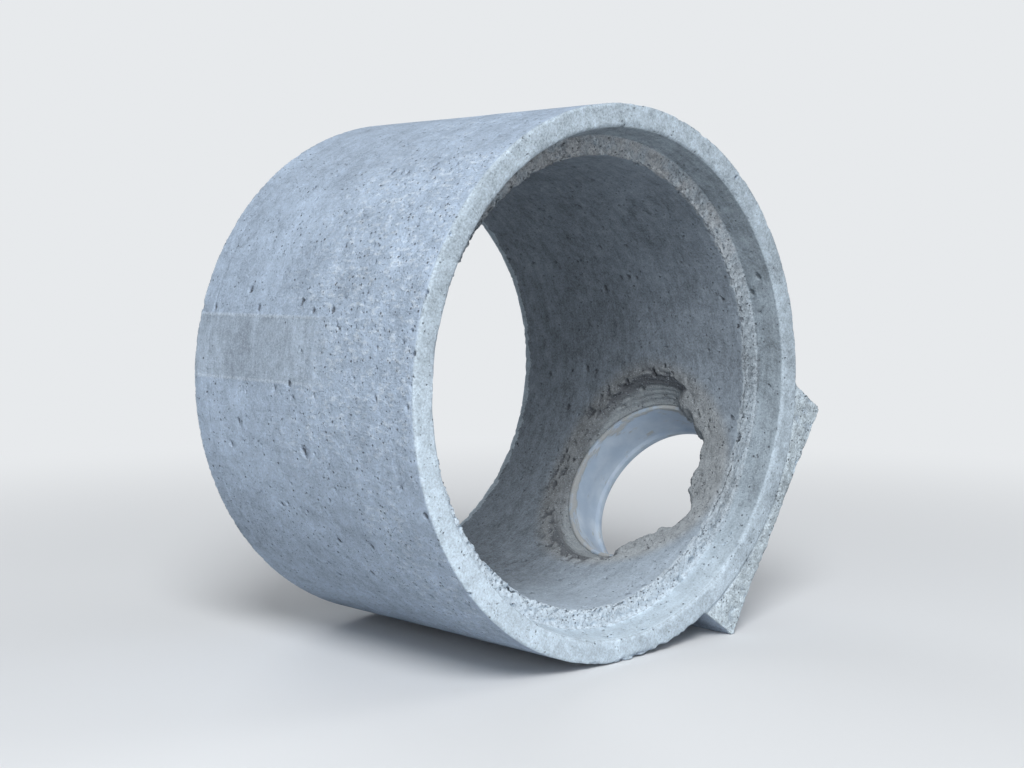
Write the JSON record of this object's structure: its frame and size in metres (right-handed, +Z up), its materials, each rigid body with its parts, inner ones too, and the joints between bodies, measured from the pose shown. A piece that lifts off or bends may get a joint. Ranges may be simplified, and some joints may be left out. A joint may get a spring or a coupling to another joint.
{
  "type": "concrete street gully",
  "caption": "Round concrete street gully section with a socket end, a spigot end and a plastic-sleeved pipe outlet through a flat pad on its side.",
  "frame": {"origin": "on the floor, under the middle of the part's box, the ring lying on its side as it comes to rest", "axes": "Y along the ring's axis with the socket facing -Y, +Z up, +X the side that the outlet leaves by, pointing 33 degrees below level"},
  "size_m": [0.5946, 0.38, 0.55],
  "materials": {
    "concrete": "rough cast, unpainted",
    "sleeve_plastic": "smooth moulded"
  },
  "bodies": {
    "root": {"gully_ring": "concrete", "outlet_sleeve": "sleeve_plastic"}
  },
  "joints": []
}
